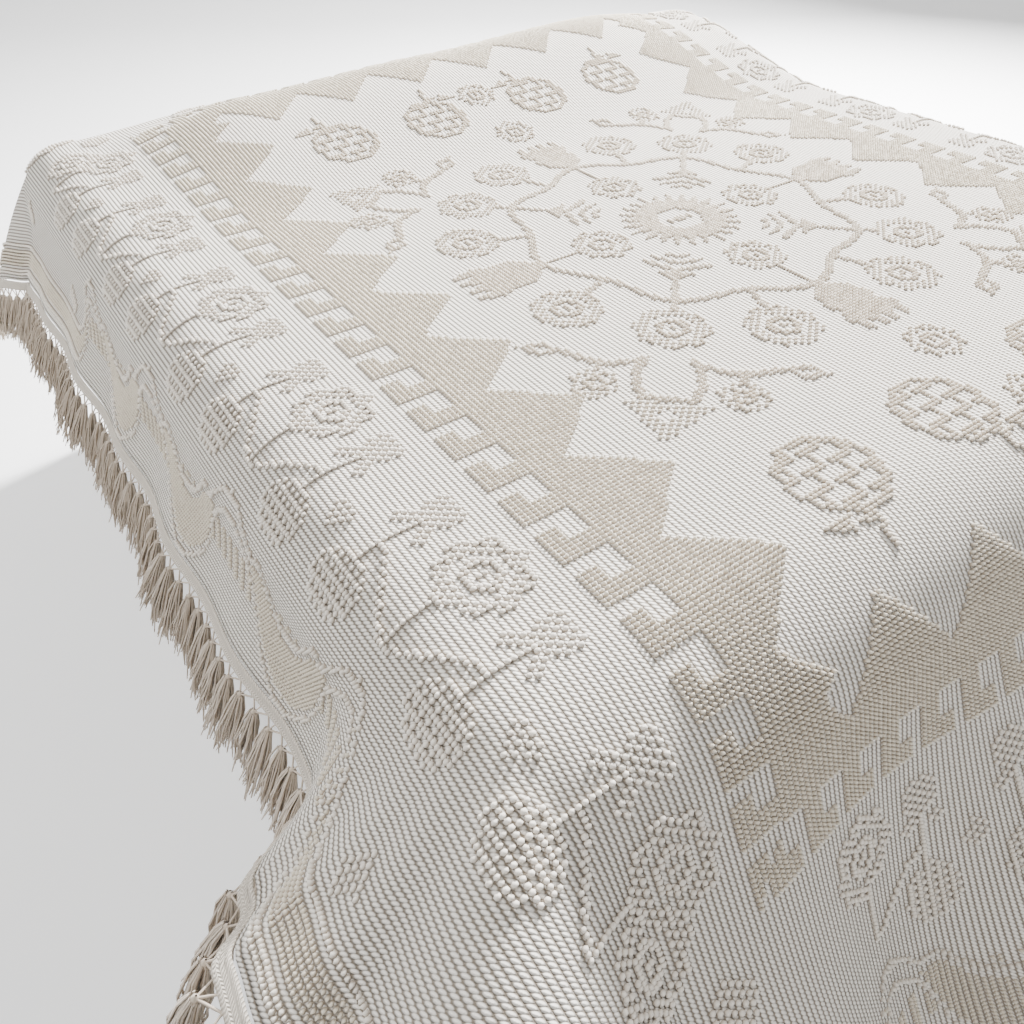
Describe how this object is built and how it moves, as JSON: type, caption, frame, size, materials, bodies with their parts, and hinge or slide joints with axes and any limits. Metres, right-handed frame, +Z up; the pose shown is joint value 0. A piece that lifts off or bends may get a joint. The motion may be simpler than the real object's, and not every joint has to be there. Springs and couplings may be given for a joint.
{
  "type": "bedspread on bed",
  "caption": "Off-white popcorn-stitch bedspread with braid and tassel fringe, draped with soft folds over a plain bed.",
  "frame": {"origin": "on the floor, under the middle of the bed", "axes": "+Z up, +Y towards the head end, +X to the bed's right side seen from the foot"},
  "size_m": [2.2216, 2.4271, 0.8512],
  "materials": {
    "base_cover": "plain woven grey-beige upholstery cloth",
    "mattress_cover": "plain matt cotton sheeting",
    "pillow_cover": "plain matt white cotton",
    "bedspread_cotton": "matt off-white cotton, honeycomb ground weave with raised ecru and white loops",
    "braid_cotton": "smooth pale beige cotton braid",
    "tassel_yarn": "soft matt greige cotton yarn with frayed ends"
  },
  "bodies": {
    "root": {"bed_base": "base_cover", "mattress": "mattress_cover", "pillows": "pillow_cover", "bedspread": "bedspread_cotton", "fringe_braid": "braid_cotton", "fringe": "tassel_yarn"}
  },
  "joints": []
}
